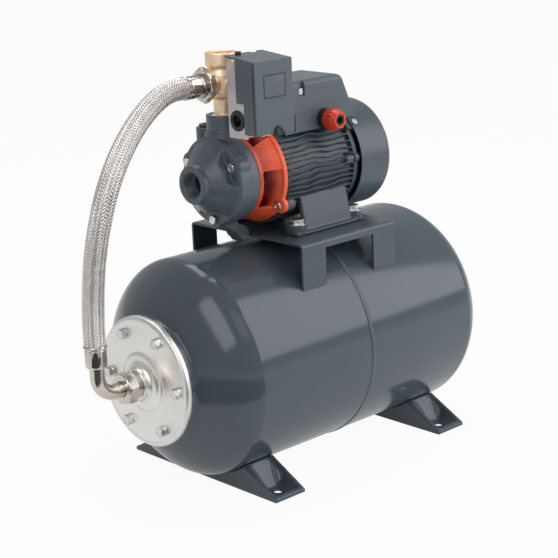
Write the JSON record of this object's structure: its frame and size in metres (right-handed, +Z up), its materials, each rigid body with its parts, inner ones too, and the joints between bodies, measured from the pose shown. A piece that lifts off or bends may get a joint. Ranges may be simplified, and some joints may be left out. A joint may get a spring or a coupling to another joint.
{
  "type": "booster pump set",
  "caption": "Peripheral booster pump with motor, pressure switch and brass fitting on a horizontal bladder tank, joined to it by a braided hose.",
  "frame": {"origin": "centre of the four floor bolt holes, on the floor plane", "axes": "+Z up; X along the tank and the pump shaft, with the inlet and the tank flange at -X; the pressure switch is on the -Y side"},
  "size_m": [0.595, 0.262, 0.503],
  "materials": {
    "tank_paint": "satin",
    "cast_paint": "satin",
    "motor_paint": "satin",
    "box_plastic": "matte",
    "orange_paint": "satin",
    "orange_plastic": "gloss",
    "zinc_plate": "satin",
    "pale_brass": "satin",
    "nickel": "gloss",
    "steel_braid": "woven",
    "black_rubber": "matte",
    "plain_steel": "satin",
    "ceramic": "satin",
    "copper_wire": "satin",
    "black_plastic": "satin",
    "can_aluminium": "satin",
    "switch_plate": "satin"
  },
  "bodies": {
    "pump_set": {"tank_flange_half": "tank_paint", "tank_valve_half": "tank_paint", "foot_flange_end": "tank_paint", "foot_valve_end": "tank_paint", "pump_platform": "tank_paint", "pump_casing": "cast_paint", "motor_frame": "motor_paint", "rear_end_shield": "motor_paint", "fan_cover": "motor_paint", "terminal_base": "box_plastic", "terminal_cover": "box_plastic", "switch_cover": "box_plastic", "lantern_bracket": "orange_paint", "gland_nut": "orange_plastic", "tank_flange": "zinc_plate", "flange_bolts": "zinc_plate", "motor_bolts": "zinc_plate", "motor_washers": "zinc_plate", "motor_nuts": "zinc_plate", "casing_bolts": "zinc_plate", "frame_bolts": "zinc_plate", "cover_screws": "zinc_plate", "five_way_fitting": "pale_brass", "air_valve_body": "pale_brass", "hose_nut": "nickel", "hose_ferrules": "nickel", "elbow_pipe": "nickel", "union_nut": "nickel", "flange_nipple": "nickel", "port_plug": "nickel", "switch_diaphragm": "nickel", "braided_hose": "steel_braid", "tank_bladder": "black_rubber", "casing_gasket": "black_rubber", "gland_seal": "black_rubber", "switch_grommets": "black_rubber", "stator_core": "plain_steel", "bearing_outer_rings": "plain_steel", "switch_springs": "plain_steel", "seal_seat": "ceramic", "stator_winding": "copper_wire", "gland_body": "black_plastic", "switch_cover_screws": "black_plastic", "terminal_block": "black_plastic", "contact_block": "black_plastic", "run_capacitor": "can_aluminium", "switch_base": "switch_plate"},
    "rotor": {"motor_shaft": "plain_steel", "rotor_core": "plain_steel", "impeller": "pale_brass", "seal_head": "black_rubber", "cooling_fan": "black_plastic", "bearing_inner_rings": "plain_steel"},
    "ball_sets": {"bearing_balls": "plain_steel"},
    "valve_pin": {"air_valve_pin": "plain_steel"},
    "valve_cap": {"air_valve_cap": "black_plastic"},
    "priming_plug": {"priming_plug": "black_plastic"},
    "drain_plug": {"drain_plug": "zinc_plate"},
    "pressure_lever": {"switch_lever": "plain_steel"},
    "pressure_plunger": {"switch_plunger": "pale_brass"}
  },
  "joints": [
    {"name": "rotor_spin", "type": "hinge", "parent": "pump_set", "child": "rotor", "pos_m": [0, 0, 0.352], "axis": [1, 0, 0], "continuous": true},
    {"name": "ball_spin", "type": "hinge", "parent": "pump_set", "child": "ball_sets", "pos_m": [0, 0, 0.352], "axis": [1, 0, 0], "continuous": true},
    {"name": "valve_pin_push", "type": "slide", "parent": "pump_set", "child": "valve_pin", "axis": [-1, 0, 0], "range_m": [0, 0.0015], "stiffness_N_per_m": 200, "springref_m": -0.002},
    {"name": "valve_cap_off", "type": "slide", "parent": "pump_set", "child": "valve_cap", "axis": [1, 0, 0], "range_m": [0, 0.02]},
    {"name": "priming_plug_out", "type": "slide", "parent": "pump_set", "child": "priming_plug", "axis": [0, 0, 1], "range_m": [0, 0.025]},
    {"name": "drain_plug_out", "type": "slide", "parent": "pump_set", "child": "drain_plug", "axis": [0, 1, 0], "range_m": [0, 0.025]},
    {"name": "pressure_lever_tilt", "type": "hinge", "parent": "pump_set", "child": "pressure_lever", "pos_m": [-0.102, -0.047, 0.482], "axis": [-1, 0, 0], "range_deg": [0, 2], "stiffness_Nm_per_rad": 2, "springref_deg": -2.86},
    {"name": "plunger_push", "type": "slide", "parent": "pump_set", "child": "pressure_plunger", "axis": [0, -1, 0], "range_m": [0, 0.00067]}
  ],
  "couplings": [
    {"joint": "ball_spin", "follows": "rotor_spin", "ratio": 0.38},
    {"joint": "plunger_push", "follows": "pressure_lever_tilt", "m_per_rad": 0.019}
  ]
}
